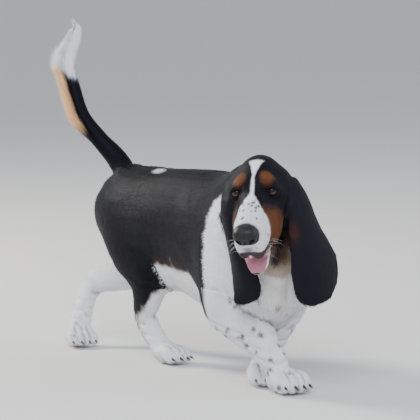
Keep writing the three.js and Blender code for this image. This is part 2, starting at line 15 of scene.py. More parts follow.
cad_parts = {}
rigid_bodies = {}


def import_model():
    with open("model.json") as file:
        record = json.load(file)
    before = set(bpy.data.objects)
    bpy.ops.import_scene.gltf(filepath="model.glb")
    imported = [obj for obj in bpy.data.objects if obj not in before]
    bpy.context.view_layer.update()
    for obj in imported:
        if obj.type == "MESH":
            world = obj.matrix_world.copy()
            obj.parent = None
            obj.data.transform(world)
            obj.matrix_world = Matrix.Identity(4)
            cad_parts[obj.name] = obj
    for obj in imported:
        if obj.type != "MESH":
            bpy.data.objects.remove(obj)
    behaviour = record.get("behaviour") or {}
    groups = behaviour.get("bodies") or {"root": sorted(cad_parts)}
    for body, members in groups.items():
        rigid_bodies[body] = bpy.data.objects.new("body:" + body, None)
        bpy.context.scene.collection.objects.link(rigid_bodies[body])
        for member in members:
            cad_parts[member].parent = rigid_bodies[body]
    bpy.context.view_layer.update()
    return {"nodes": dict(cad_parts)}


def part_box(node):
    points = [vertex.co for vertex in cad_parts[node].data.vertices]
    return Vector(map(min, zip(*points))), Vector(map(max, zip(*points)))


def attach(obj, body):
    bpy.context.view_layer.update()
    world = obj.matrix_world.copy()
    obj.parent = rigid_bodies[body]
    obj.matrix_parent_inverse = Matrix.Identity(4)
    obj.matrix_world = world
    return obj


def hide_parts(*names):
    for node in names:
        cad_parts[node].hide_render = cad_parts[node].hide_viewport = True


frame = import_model()
MM = 0.001
SEED = 7

# The head's frame, as built: x to the dog's right, y along the muzzle, z up from it, in millimetres
HEAD_YAW = 41
HEAD_PITCH = 29
HEAD_ROLL = 5
EYE_RADIUS = 11.5
EYE_SET_BACK = 7

# The photograph's camera
VIEW_AZIMUTH = math.radians(-30)
VIEW_HEIGHT = math.radians(5.5)
VIEW_DISTANCE = 4.6
VIEW_TARGET_HEIGHT = 0.300
FOCAL_SHARE = 2490 / 420
SENSOR = 36

# How far the skin lies under the solids' surface, in millimetres
COAT_DEPTH = 2.0
EAR_COAT_DEPTH = 1.0

# The coat on each part: the hairs' length in millimetres, and how densely it is covered
HAIR = {
    "torso": (10, 1),
    "neck": (9, 1.3),
    "head": (3.2, 6),
    "jaw": (3.2, 6),
    "ear": (5, 2.4),
    "tail": (10, 1.8),
    "thigh": (8, 1.2),
    "hindleg": (6, 2),
    "foreleg": (6, 2),
    "hindpaw": (4.5, 3),
    "forepaw": (4.5, 3),
}
TUFTS = 340_000
SKIN_VOXEL = 0.0036

BLACK = np.array([0.0062, 0.0056, 0.0078])
WHITE = np.array([0.78, 0.78, 0.80])
TAN = np.array([0.15, 0.052, 0.020])
CREAM = np.array([0.62, 0.47, 0.34])
ORANGE = np.array([0.78, 0.50, 0.28])
GUM = np.array([0.10, 0.03, 0.028])


def box_centre(name):
    low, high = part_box(name)
    return (Vector(low) + Vector(high)) / 2


def head_frame():
    turn = (
        Euler((0, 0, math.radians(180 - HEAD_YAW))).to_matrix()
        @ Euler((math.radians(-HEAD_PITCH), 0, 0)).to_matrix()
        @ Euler((0, math.radians(HEAD_ROLL), 0)).to_matrix()
    )
    left = box_centre("eye_left")
    right = box_centre("eye_right")
    middle = (left + right) / 2 + turn @ Vector((0, EYE_SET_BACK * MM, 0))
    return middle, turn


HEAD_PLACE, HEAD_TURN = head_frame()
HEAD_TURN_ARRAY = np.array(HEAD_TURN)
EYE_LINE = Vector((-112, -345, 362)) * MM
SHIFT = HEAD_PLACE - EYE_LINE


def to_head(points):
    """Row metres to the head's own millimetres."""
    return (points - np.array(HEAD_PLACE)) @ HEAD_TURN_ARRAY / MM


def from_head(places):
    """The head's own millimetres back to metres."""
    return places * MM @ HEAD_TURN_ARRAY.T + np.array(HEAD_PLACE)


def to_build(points):
    """Row metres to the millimetres that the markings and the lie of the coat are given in."""
    return (points - np.array(SHIFT)) / MM


def smooth(low, high, value):
    t = np.clip((value - low) / (high - low), 0, 1)
    return t * t * (3 - 2 * t)


def bell(*distances):
    """1 in the middle of a soft spot, less with the distance in each direction that is given."""
    return np.exp(-sum(distance**2 for distance in distances))


WAVES = 7
WAVES_HEIGHT = 3.2


def wobble(points, scale, seed):
    """Soft noise between about -1 and 1 from a few crossing waves."""
    draw = np.random.default_rng(SEED + seed)
    total = np.zeros(len(points))
    for _ in range(WAVES):
        direction = draw.normal(size=3)
        direction /= np.linalg.norm(direction)
        pitch = 2 * math.pi / (scale * draw.uniform(0.6, 1.7))
        total += np.sin(points @ direction * pitch + draw.uniform(0, 6.3))
    return total / WAVES_HEIGHT


# Meshes as arrays


def read_mesh(mesh):
    count = len(mesh.vertices)
    points = np.empty(count * 3)
    mesh.vertices.foreach_get("co", points)
    mesh.calc_loop_triangles()
    triangles = np.empty(len(mesh.loop_triangles) * 3, dtype=np.int64)
    mesh.loop_triangles.foreach_get("vertices", triangles)
    return points.reshape(-1, 3), triangles.reshape(-1, 3)


def new_object(name, points, triangles):
    mesh = bpy.data.meshes.new(name)
    mesh.vertices.add(len(points))
    mesh.vertices.foreach_set("co", np.ascontiguousarray(points, dtype=np.float32).ravel())
    mesh.loops.add(len(triangles) * 3)
    mesh.loops.foreach_set("vertex_index", np.ascontiguousarray(triangles, dtype=np.int32).ravel())
    mesh.polygons.add(len(triangles))
    mesh.polygons.foreach_set("loop_start", np.arange(0, len(triangles) * 3, 3, dtype=np.int32))
    mesh.update(calc_edges=True)
    mesh.validate()
    mesh.shade_smooth()
    piece = bpy.data.objects.new(name, mesh)
    bpy.context.scene.collection.objects.link(piece)
    return piece


def node_arrays(name):
    return read_mesh(bpy.data.objects[name].data)


def vertex_normals(points, triangles):
    corners = points[triangles]
    face = np.cross(corners[:, 1] - corners[:, 0], corners[:, 2] - corners[:, 0])
    normals = np.zeros_like(points)
    for corner in range(3):
        for axis in range(3):
            normals[:, axis] += np.bincount(triangles[:, corner], face[:, axis], len(points))
    return normals / np.maximum(np.linalg.norm(normals, axis=1, keepdims=True), 1e-12)


def joined(names, swell, ear_swell):
    """Several nodes in one mesh, each a little thicker so that they run into each other."""
    parts = []
    faces = []
    start = 0
    for name in names:
        points, triangles = node_arrays(name)
        thicker = ear_swell if name.startswith("ear_") else swell
        parts.append(points + vertex_normals(points, triangles) * thicker)
        faces.append(triangles + start)
        start += len(points)
    return np.vstack(parts), np.vstack(faces)


def remeshed(name, points, triangles, voxel):
    """One closed even surface round all that is given."""
    piece = new_object(name, points, triangles)
    remesh = piece.modifiers.new("even", "REMESH")
    remesh.mode = "VOXEL"
    remesh.voxel_size = voxel
    evaluated = piece.evaluated_get(bpy.context.evaluated_depsgraph_get())
    result = read_mesh(evaluated.to_mesh())
    evaluated.to_mesh_clear()
    bpy.data.objects.remove(piece)
    return result


def edges_of(triangles):
    pairs = np.vstack([triangles[:, [0, 1]], triangles[:, [1, 2]], triangles[:, [2, 0]]])
    pairs.sort(axis=1)
    return np.unique(pairs, axis=0)


def neighbours_of(points, triangles):
    """Gives a function for the mean place of each point's neighbours."""
    edges = edges_of(triangles)
    count = len(points)
    links = np.maximum(np.bincount(edges.ravel(), minlength=count), 1)

    def mean_place(values):
        total = np.empty_like(values)
        for axis in range(3):
            total[:, axis] = np.bincount(edges[:, 0], values[edges[:, 1], axis], count)
            total[:, axis] += np.bincount(edges[:, 1], values[edges[:, 0], axis], count)
        return total / links[:, None]

    return mean_place


def relaxed(points, triangles, rounds, weight=None):
    """Evens out the surface without shrinking it. weight is 0 where a point stays."""
    mean_place = neighbours_of(points, triangles)
    points = points.copy()
    for _ in range(rounds):
        for share in (0.5, -0.53):
            step = mean_place(points) - points
            if weight is not None:
                step *= weight[:, None]
            points += step * share
    return points


HOLLOW_ROUNDS = 10


def hollows(points, triangles, normals):
    """How much each point lies in a crease or groove, from 0 to 1."""
    mean_place = neighbours_of(points, triangles)
    wide = points.copy()
    for _ in range(HOLLOW_ROUNDS):
        wide = wide * 0.5 + mean_place(wide) * 0.5
    depth = np.sum((wide - points) * normals, axis=1) / MM
    return smooth(0.15, 1.3, depth)


def subdivided(points, triangles, chosen):
    """Splits the chosen triangles in four, and their neighbours to match."""
    edges = edges_of(triangles[chosen])
    count = len(points)
    keys = edges[:, 0] * count + edges[:, 1]
    middles = (points[edges[:, 0]] + points[edges[:, 1]]) / 2

    def middle_of(a, b):
        key = np.minimum(a, b) * count + np.maximum(a, b)
        place = np.clip(np.searchsorted(keys, key), 0, len(keys) - 1)
        return np.where(keys[place] == key, place + count, -1)

    a, b, c = triangles.T
    ab, bc, ca = middle_of(a, b), middle_of(b, c), middle_of(c, a)
    split = (ab >= 0).astype(int) + (bc >= 0) + (ca >= 0)
    out = [triangles[split == 0]]
    full = split == 3
    out.append(np.stack([a[full], ab[full], ca[full]], 1))
    out.append(np.stack([ab[full], b[full], bc[full]], 1))
    out.append(np.stack([ca[full], bc[full], c[full]], 1))
    out.append(np.stack([ab[full], bc[full], ca[full]], 1))
    for x, y, z, xy, yz, zx in ((a, b, c, ab, bc, ca), (b, c, a, bc, ca, ab), (c, a, b, ca, ab, bc)):
        one = (split == 1) & (xy >= 0)
        out.append(np.stack([x[one], xy[one], z[one]], 1))
        out.append(np.stack([xy[one], y[one], z[one]], 1))
        two = (split == 2) & (zx < 0)
        out.append(np.stack([x[two], xy[two], yz[two]], 1))
        out.append(np.stack([xy[two], y[two], yz[two]], 1))
        out.append(np.stack([x[two], yz[two], z[two]], 1))
    return np.vstack([points, middles]), np.vstack(out)


def kept_largest(points, triangles):
    """Drops closed scraps inside the main surface."""
    group = np.arange(len(points))
    edges = edges_of(triangles)
    while True:
        low = np.minimum(group[edges[:, 0]], group[edges[:, 1]])
        new = group.copy()
        np.minimum.at(new, edges[:, 0], low)
        np.minimum.at(new, edges[:, 1], low)
        new = new[new]
        if np.array_equal(new, group):
            break
        group = new
    main = np.bincount(group).argmax()
    keep = group == main
    index = np.cumsum(keep) - 1
    return points[keep], index[triangles[keep[triangles[:, 0]]]]


# Regions

SIDES = ("left", "right")
LIMBS = ("thigh", "hindleg", "hindpaw", "foreleg", "forepaw")
FLESH = ["ear_left", "ear_right", "torso", "neck", "head", "jaw", "tail_base", "tail_middle", "tail_tip"]
FLESH += [f"{limb}_{side}" for limb in LIMBS for side in SIDES]


def region_tree():
    """The surfaces of all flesh nodes, and which node each triangle belongs to."""
    points, faces, owner = [], [], []
    start = 0
    for place, name in enumerate(FLESH):
        node_points, triangles = node_arrays(name)
        points.append(node_points)
        faces.append(triangles + start)
        owner += [place] * len(triangles)
        start += len(node_points)
    tree = BVHTree.FromPolygons(np.vstack(points).tolist(), np.vstack(faces).tolist())
    return tree, owner


REGION_TREE, REGION_OWNER = region_tree()


def regions(points):
    """The place in FLESH of the node nearest to each point."""
    return np.array([REGION_OWNER[REGION_TREE.find_nearest(p)[2]] for p in points.tolist()])


# Words for two kinds of node at once
GROUPS = {
    "torso": "trunk",
    "neck": "trunk",
    "head": "face",
    "jaw": "face",
    "forepaw": "paw",
    "hindpaw": "paw",
}


def masks(labels):
    """Gives a function for which points are in a node of FLESH, in a kind of node or in a group."""
    found = {}
    for place, name in enumerate(FLESH):
        kind = name.split("_")[0]
        for key in {name, kind, GROUPS.get(kind, kind)}:
            found[key] = found.get(key, False) | (labels == place)
    return lambda key: found[key]


def surface_of(name):
    points, triangles = node_arrays(name)
    return BVHTree.FromPolygons(points.tolist(), triangles.tolist())


TONGUE = surface_of("tongue")
NOSE = surface_of("nose")

# Markings and painted shade: colour by place, the same for the skin and every tuft

# Small dark ticks: how many, their smallest and largest size, and how strong they are
TICK_KINDS = {
    "bridge": (20, 1.5, 3.4, 0.85),
    "muzzle": (26, 1.0, 2.2, 0.6),
    "leg": (44, 2, 5, 0.8),
    "chest": (16, 2.5, 6, 0.6),
    "hind": (12, 2, 4.5, 0.5),
}

# The ticks' places and sizes, once they are drawn
TICKS = {}

# The larger dark spots in front of the right wrist: centre and size
WRIST_SPOTS = (
    ((-75, -243, 100), 4.5),
    ((-69, -246, 85), 5.5),
    ((-50, -265, 105), 5),
    ((-91, -220, 112), 3.5),
    ((-79, -236, 99), 3),
    ((-40, -280, 44), 3.5),
    ((-58, -262, 74), 2.5),
)


def spot(away, size):
    """1 in a spot with a soft edge, by the distance from its centre."""
    return 1 - smooth(size * 0.6, size * 1.3, away)


def ticks(name, points, inside):
    """The same ticks for skin and coat: the centres are drawn once, on the skin."""
    if name not in TICKS:
        count, low, high, _ = TICK_KINDS[name]
        draw = np.random.default_rng(SEED + len(name))
        chosen = np.sort(draw.choice(np.flatnonzero(inside), count, replace=False))
        TICKS[name] = (points[chosen], draw.uniform(low, high, count))
    total = np.zeros(len(points))
    for centre, size in zip(*TICKS[name]):
        total = np.maximum(total, spot(np.linalg.norm(points - centre, axis=1), size))
    return total


def tick_regions(p, q, is_in):
    """Where each kind of tick is drawn, and where it shows."""
    right, ahead, up = q.T
    face = is_in("face")
    bridge = face & (ahead > 36) & (ahead < 84) & (up > -16) & (np.abs(right) < 20)
    muzzle = face & (ahead > 55) & (ahead < 112) & (up > -60)
    leg = (is_in("foreleg") | is_in("forepaw_right")) & (p[:, 2] < 250)
    chest = is_in("trunk") & (p[:, 1] < -200) & (p[:, 2] < 300)
    hind = (is_in("hindleg") | is_in("hindpaw")) & (p[:, 2] < 110)
    return {
        "bridge": (bridge, face),
        "muzzle": (muzzle, face),
        "leg": (leg, leg),
        "chest": (chest, chest),
        "hind": (hind, hind),
    }


def all_ticks(place, p, q, is_in):
    share = np.zeros(len(p))
    kinds = tick_regions(p, q, is_in)
    for name, (drawn, shown) in kinds.items():
        strength = TICK_KINDS[name][3]
        share = np.maximum(share, ticks(name, place / MM, drawn) * shown * strength)
    for centre, size in WRIST_SPOTS:
        away = np.linalg.norm(p - centre, axis=1) + wobble(p, 6, 20)
        share = np.maximum(share, spot(away, size) * kinds["leg"][1] * 0.85)
    return share


def plain(colour, like):
    return np.tile(colour, (len(like), 1))


def mix(colour, other, share):
    return colour + (other - colour) * np.clip(share, 0, 1)[:, None]


def chosen_from(inside, colour, other):
    return np.where(inside[:, None], colour, other)


def markings(place, normals, is_in):
    """The coat's colour at each point, with painted shade and a painted highlight among the marks."""
    p = to_build(place)
    q = to_head(place)
    edge = wobble(p, 34, 1) * 6 + wobble(p, 9, 2) * 2
    colour = trunk_markings(p, edge, is_in)
    colour = leg_markings(colour, p, normals, edge, is_in)
    colour = chosen_from(is_in("tail"), tail_markings(p, normals, edge, is_in), colour)
    colour = chosen_from(is_in("face"), face_markings(q, edge), colour)
    colour = throat_colour_and_shade(colour, p, q, is_in)
    colour = mouth_colour_and_shade(colour, place, q, is_in)
    colour = chosen_from(is_in("ear"), ear_markings(q), colour)
    return mix(colour, BLACK * 1.6, all_ticks(place, p, q, is_in))


def trunk_markings(p, edge, is_in):
    """A dark back with a small pale patch, partly white hair and partly painted highlight, a white chest
    and underside, and a little tan between.
    """
    x, y, z = p.T
    chest_end = np.where(x < -20, -178, -196)
    chest = smooth(5, -5, y - chest_end + edge * 0.5)
    chest = chest * smooth(350, 338, z + (y + 200) * 0.35 + edge * 0.5)
    belly_top = 200 - smooth(60, 120, y) * 30 - smooth(-60, -150, y) * 55
    belly = smooth(5, -5, z - belly_top + edge) * smooth(134, 104, y + edge)
    colour = mix(plain(BLACK, p), WHITE, is_in("trunk") * np.maximum(chest, belly))
    flank = bell((z - belly_top - 2) / 9) * smooth(-80, -40, y) * (y < 130)
    colour = mix(colour, TAN, is_in("torso") * flank * 0.16)
    # A pale patch on the back: partly white hair, partly a painted highlight
    patch = bell((y - 156) / 21, (x + 21) / 11) * (z > 300)
    return mix(colour, WHITE, is_in("torso") * smooth(0.35, 0.8, patch + edge * 0.03) * 0.7)


def leg_markings(colour, p, normals, edge, is_in):
    """Pale legs, dark on the right thigh, on the left one's outer side and behind the right elbow."""
    z = p[:, 2]
    outward = -normals[:, 0] * 0.75 + normals[:, 1] * 0.75
    limit = 0.9 - smooth(62, 185, z) * 1.3
    leg = mix(plain(WHITE, p), TAN, bell((outward - limit) / 0.16) * 0.55)
    leg = mix(leg, BLACK, smooth(-0.12, 0.12, outward - limit + edge * 0.015))
    colour = chosen_from(is_in("hindleg_right") | is_in("thigh_right"), leg, colour)
    left_side = smooth(-0.1, 0.2, normals[:, 0] - 0.1) * smooth(160, 190, z + edge)
    colour = chosen_from(is_in("thigh_left"), mix(plain(WHITE, p), BLACK, left_side), colour)
    pale = is_in("hindleg_left") | is_in("paw") | is_in("foreleg_left")
    colour = chosen_from(pale, WHITE, colour)
    behind = smooth(-0.1, 0.15, normals[:, 1] - 0.05) * smooth(118, 135, z + edge)
    return chosen_from(is_in("foreleg_right"), mix(plain(WHITE, p), BLACK, behind), colour)


def tail_markings(p, normals, edge, is_in):
    """Dark with a pale end, and orange in the long hair behind."""
    z = p[:, 2]
    orange = smooth(0.45, 0.85, tail_brush(p, normals, is_in)) * smooth(405, 430, z)
    return mix(mix(plain(BLACK, p), ORANGE, orange), WHITE, smooth(522, 540, z + edge * 0.7))


def throat_colour_and_shade(colour, p, q, is_in):
    """Cream on throat and breast, dimmed with painted shade under the jaw and in the chest's folds, tan on
    the jowl darkened with painted shade under the flews, dark behind the cheek, and a painted shadow under
    the lips' corner.
    """
    x, y, z = p.T
    right, ahead, up = q.T
    throat = is_in("neck") & (ahead > -70)
    # Cream on the throat, dimmed as painted shade under the jaw
    colour = mix(colour, CREAM * 0.8, throat * smooth(-215, -150, up) * 0.85)
    # Cream on the breast: partly a warm tone, partly painted shade in the chest's folds
    breast_tone_and_shade = is_in("trunk") * smooth(-225, -265, y) * smooth(34, 6, np.abs(x + 34))
    breast_tone_and_shade = breast_tone_and_shade * smooth(130, 160, z) * smooth(290, 240, z)
    colour = mix(colour, CREAM, breast_tone_and_shade * (0.3 + 0.2 * wobble(p, 30, 17)))
    # Tan on the jowl, darkened with painted shade under the flews
    jowl_tan_and_shade = bell((up + 114) / 32, (right + 26) / 22) * (1.25 + 0.35 * wobble(p, 22, 18))
    colour = mix(colour, TAN * 0.38, throat * np.clip(jowl_tan_and_shade, 0, 1) * 0.9)
    colour = mix(colour, BLACK * 2, throat * smooth(-122, -102, up + wobble(p, 20, 19) * 8))
    # Painted shadow under the lips' corner
    corner = bell((up + 132) / 10, (right + 15) / 7)
    return mix(colour, BLACK * 3, throat * np.clip(corner * 1.3, 0, 0.9))


def mouth_colour_and_shade(colour, place, q, is_in):
    """Dark lips and gums, painted shade of the mouth's opening below the upper lip, a dark rim at the nose
    that is partly its leather's edge and partly painted shade in the nostrils, and painted shade in the
    cleft under the nose.
    """
    right, ahead, up = q.T
    colour = mix(colour, GUM, in_mouth(place, is_in))
    # Painted shade: the mouth's opening, dark below the upper lip's rim
    rim_height = -44 - 0.4 * np.maximum(0, np.abs(right) - 12)
    mouth_opening_shade = is_in("head") * smooth(1.5, -1.5, up - rim_height) * smooth(55, 75, ahead)
    colour = mix(colour, GUM * 0.3, mouth_opening_shade * 0.95)
    tip = is_in("head") & (ahead > 80)
    # Round the nose pad: partly the leather's dark edge, partly painted shade in the nostrils
    colour = mix(colour, BLACK * 2, closeness(NOSE, place, tip, 6, 3))
    # Painted shade in the cleft under the nose
    nose_cleft_shade = bell(right / 9) * smooth(-26, -36, up)
    return mix(colour, BLACK * 7, tip * nose_cleft_shade * 0.7)


def ear_markings(q):
    """Dark, with a reddish patch on the left one's front edge."""
    right, ahead, up = q.T
    red = bell((ahead - 13) / 11, (up + 72) / 19, (right + 56) / 11)
    return mix(plain(BLACK * 1.9, q), TAN * 0.7, red * 0.45)


def face_markings(q, edge):
    """Tan cheeks and brows, a white blaze and snout, the snout's white greyer with fine ticking and
    painted shade, painted shade where the nose pad meets the muzzle, and a pale chin with cream behind it.
    """
    x, y, z = q.T
    away = np.abs(x)
    edge = edge * 0.28
    inside = y + edge - (24 + 0.65 * (z + 5))
    cheek = smooth(-3, 3, inside) * smooth(15, 19, away) * smooth(3, -2, z)
    cheek *= np.where(x > 0, 0.45, 1)
    sooty = smooth(24, 2, inside + wobble(q, 24, 15) * 10) * 0.8
    face = mix(plain(BLACK, q), mix(plain(TAN * 0.68, q), BLACK * 2, sooty), cheek)
    brow = ((away - 23) / 12.5) ** 2 + ((y + 10) / 17) ** 2 + ((z - 24) / 17) ** 2
    face = mix(face, TAN * 0.85, smooth(1.6, 0.1, brow + edge * 0.16))
    width = 3.6 + smooth(-10, -66, y) * 11 + smooth(20, 62, y) * 22
    blaze = smooth(1.6, -1.6, np.abs(x + 1.6) - width + edge * 0.7) * smooth(-57, -48, y + edge * 2)
    face = mix(face, WHITE, blaze * smooth(-20, -8, z + smooth(20, 50, y) * 60))
    # The snout a greyer white: partly its fine ticking, partly painted shade
    snout = smooth(-3, 3, y + edge - 47 - 0.8 * np.maximum(0, -12 - z))
    face = mix(face, WHITE * 0.86, snout)
    # Painted shade where the nose pad meets the muzzle
    shade_behind_nose = bell((y - 103) / 8) * smooth(-30, -6, z)
    face = mix(face, BLACK * 5, shade_behind_nose * 0.75)
    chin = smooth(-72, -80, z)
    return mix(face, mix(plain(WHITE, q), CREAM, smooth(60, 0, y)), chin)


def closeness(surface, place, chosen, far, near):
    """1 where a chosen point is nearer to the surface than near, 0 beyond far, in millimetres."""
    share = np.zeros(len(place))
    for i in np.flatnonzero(chosen):
        share[i] = smooth(far, near, (surface.find_nearest(place[i], 0.03)[3] or 1) / MM)
    return share


def in_mouth(place, is_in):
    """How much a point of the head or jaw is lip or gum."""
    ahead = to_head(place)[:, 1] > 0
    upper = closeness(TONGUE, place, is_in("head") & ahead, 10, 5)
    return np.maximum(upper, closeness(TONGUE, place, is_in("jaw") & ahead, 9, 5))


# Lie of the coat

ALONG_THE_BACK = np.array([0.0, 1.0, -0.35])
ALONG_THE_BELLY = np.array([0, 1.0, 0.0])
DOWN_THE_CHEST = np.array([0.05, 0.25, -1.0])
DOWN_THE_LEG = np.array([0.0, 0.15, -1.0])
OVER_THE_PAW = np.array([0.0, -1.0, -0.7])
BACK_FROM_THE_NOSE = np.array(HEAD_TURN @ Vector((0, -1, -0.25)))
HAIR_WAYS = {
    "thigh": DOWN_THE_LEG,
    "hindleg": DOWN_THE_LEG,
    "foreleg": DOWN_THE_LEG,
    "hindpaw": OVER_THE_PAW,
    "forepaw": OVER_THE_PAW,
    "head": BACK_FROM_THE_NOSE,
    "jaw": BACK_FROM_THE_NOSE,
    "ear": np.array([0.0, 0.05, -1.0]),
}


def lie(place, normals, is_in):
    """The way the hair points at each place, along the surface."""
    p = to_build(place)
    under = smooth(0.2, 0.8, -normals[:, 2])[:, None]
    flow = plain(ALONG_THE_BACK, p) * (1 - under) + ALONG_THE_BELLY * under
    front = (smooth(-190, -240, p[:, 1]) * is_in("trunk"))[:, None]
    flow = flow * (1 - front) + DOWN_THE_CHEST * front
    for kind, way in HAIR_WAYS.items():
        flow = chosen_from(is_in(kind), way, flow)
    flow = chosen_from(is_in("tail"), tail_direction(p), flow)
    swirl = np.stack([wobble(p, 60, seed) for seed in (5, 6, 7)], 1)
    flow = flow + swirl * 0.16
    flow = flow - normals * np.sum(flow * normals, axis=1, keepdims=True)
    return flow / np.maximum(np.linalg.norm(flow, axis=1, keepdims=True), 1e-9)


# The tail's core: places along its middle and its half width there, as in the solids without their locks
TAIL_LINE = np.array(
    [
        [-14, 262, 316, 27],
        [-28, 310, 373, 22],
        [-53, 336, 412, 18],
        [-75, 367, 459, 15],
        [-83, 394, 517, 15],
        [-86, 410, 546, 15],
        [-78, 417, 575, 15.5],
        [-66, 419, 604, 14],
        [-58, 419, 622, 9],
        [-62, 424, 632, 5],
    ],
    float,
)


def curve_point(a, b, c, d, t):
    """A place between b and c on a smooth curve through a, b, c and d."""
    bend = 2 * a - 5 * b + 4 * c - d
    return 0.5 * (2 * b + (c - a) * t + bend * t**2 + (3 * b - a - 3 * c + d) * t**3)


def tail_core():
    """A closed tube along the tail, in metres."""
    steps = 5
    around = 24
    stations = []
    count = len(TAIL_LINE)
    for i in range(count - 1):
        corners = [TAIL_LINE[min(max(i + k, 0), count - 1)] for k in (-1, 0, 1, 2)]
        stations += [curve_point(*corners, k / steps) for k in range(steps)]
    stations.append(TAIL_LINE[-1])
    line = np.array(stations)
    angles = np.arange(around) * 2 * math.pi / around
    rings = []
    for i, (x, y, z, radius) in enumerate(line):
        ahead = line[min(i + 1, len(line) - 1), :3] - line[max(i - 1, 0), :3]
        ahead /= np.linalg.norm(ahead)
        side = np.cross(ahead, [0, 1, 0])
        side /= np.linalg.norm(side)
        circle = np.outer(np.cos(angles), side) + np.outer(np.sin(angles), np.cross(ahead, side))
        rings.append([x, y, z] + radius * circle)
    points = np.vstack(rings + [line[:1, :3], line[-1:, :3]])
    faces = []
    last = len(line) - 1
    for i in range(last):
        for j in range(around):
            a = i * around + j
            b = i * around + (j + 1) % around
            faces += [(a, b, b + around), (a, b + around, a + around)]
    start, end = len(points) - 2, len(points) - 1
    for j in range(around):
        k = (j + 1) % around
        faces += [(start, k, j), (end, last * around + j, last * around + k)]
    return points * MM + np.array(SHIFT), np.array(faces)


def tail_direction(p):
    """The way the tail runs beside each point, towards its tip."""
    line = TAIL_LINE[:, :3]
    nearest = np.argmin(np.linalg.norm(p[:, None, :] - line[None], axis=2), axis=1)
    ahead = line[np.minimum(nearest + 1, len(line) - 1)]
    behind = line[np.maximum(nearest - 1, 0)]
    return ahead - behind


# Skin


def joined_flesh():
    """Flesh and eyes in one closed surface, with the tail's core in the place of its solids."""
    names = [name for name in FLESH if not name.startswith("tail_")]
    points, triangles = joined(names + ["eye_left", "eye_right"], 0.5 * MM, 1.3 * MM)
    tail_points, tail_triangles = tail_core()
    triangles = np.vstack([triangles, tail_triangles + len(points)])
    points = np.vstack([points, tail_points])
    return kept_largest(*remeshed("flesh", points, triangles, SKIN_VOXEL))


def evened(points, triangles):
    """Smooths the seams between the solids, less on face and paws, and makes the face finer."""
    q = to_head(points)
    face = smooth(-110, -60, q[:, 1]) * smooth(-150, -100, q[:, 2])
    is_in = masks(regions(points))
    paws = is_in("paw") * 0.75
    points = relaxed(points, triangles, 14, 1 - np.maximum(0.6 * face, paws))
    centre = to_head(points)[triangles].mean(axis=1)
    near_face = (centre[:, 1] > -50) & (centre[:, 2] > -110) & (np.abs(centre[:, 0]) < 75)
    points, triangles = subdivided(points, triangles, near_face)
    points = relaxed(points, triangles, 5, smooth(-60, -40, to_head(points)[:, 1]))
    middle = points[triangles].mean(axis=1)
    near_eyes = np.zeros(len(triangles), bool)
    for place in eye_places().values():
        near_eyes |= np.linalg.norm(middle - place, axis=1) < 26 * MM
    return subdivided(points, triangles, near_eyes)


def make_skin():
    """The bare skin under the coat, with its folds, lips and lids."""
    points, triangles = evened(*joined_flesh())
    normals = vertex_normals(points, triangles)
    is_in = masks(regions(points))
    inset = COAT_DEPTH * (1 - 0.75 * smooth(-110, -70, to_head(points)[:, 1]))
    inset = np.where(is_in("ear"), EAR_COAT_DEPTH, inset)
    points = points - normals * ((inset - folds(points, is_in)) * MM)[:, None]
    points[:, 2] = np.maximum(points[:, 2], 0.6 * MM)
    return carved_eyes(slimmer_lips(points, is_in)), triangles


def slimmer_lips(points, is_in):
    """Draws the lips in towards their lower edge, more on the dog's right."""
    q = to_head(points)
    x, y, z = q.T
    low = is_in("head") * smooth(-34, -70, z) * smooth(48, 66, y)
    q[:, 0] -= low * np.where(x > 0, 7.5 * smooth(2, 20, x), -2.5 * smooth(-2, -20, x))
    return from_head(q)


# How deep the crease is where each limb leaves the trunk
LIMB_CREASES = {"foreleg_right": 2.0, "foreleg_left": 1.2, "thigh_right": 1.2}


def folds(place, is_in):
    """Loose skin: how far each point stands out or sinks, in millimetres."""
    p = to_build(place)
    x, y, z = p.T
    right, ahead, up = to_head(place).T
    drift = wobble(p, 190, 11)
    fine = wobble(p, 60, 12) * 0.25
    wrist = (is_in("foreleg") | is_in("forepaw")) * smooth(36, 52, z) * smooth(140, 105, z)
    out = wrist * 2.4 * ridges(z - y * 0.25, 19, drift + fine)
    hock = (is_in("hindleg") | is_in("hindpaw")) * smooth(32, 48, z) * smooth(115, 80, z)
    out += hock * 1.6 * ridges(z, 19, drift + fine)
    chest = is_in("trunk") * smooth(-180, -240, y)
    out += chest * 3.0 * ridges(x * 0.85 + z * 0.3, 52, drift * 1.2 + fine)
    flank = is_in("torso") * smooth(-190, -150, y) * smooth(60, -40, y)
    out += flank * 1.2 * ridges(y * 0.75 - z * 0.6, 110, drift)
    knee = is_in("thigh") * smooth(190, 150, z)
    out += knee * 1.8 * ridges(z - y * 0.3, 34, drift + fine)
    cheek = is_in("head") * smooth(14, 26, np.abs(right)) * smooth(0, -16, up) * smooth(74, 50, ahead)
    out += cheek * 1.4 * ridges(ahead * 0.8 + up * 0.4, 21, drift + fine)
    trunk = is_in("torso") & (z < 215)
    for name, depth in LIMB_CREASES.items():
        out -= depth * smooth(0, 1, closeness(surface_of(name), place, trunk, 18, 0))
    return out - toe_grooves(p)


def ridges(along, pitch, shift):
    """Rounded folds with softer creases between them."""
    wave = 0.5 + 0.5 * np.sin(along * 2 * math.pi / pitch + shift * 2)
    return wave**0.7 - 0.6


# Each paw, as built: its middle, the way it points in degrees to the dog's right of -Y, and its scale
PAWS = {
    "hind_right": (-24, 106, -14, 0.92),
    "hind_left": (-76, 386, 6, 0.92),
    "fore_right": (-8, -281, -4, 1.04),
    "fore_left": (0, -190, 12, 0.95),
}
TOE_PITCH = 15.5


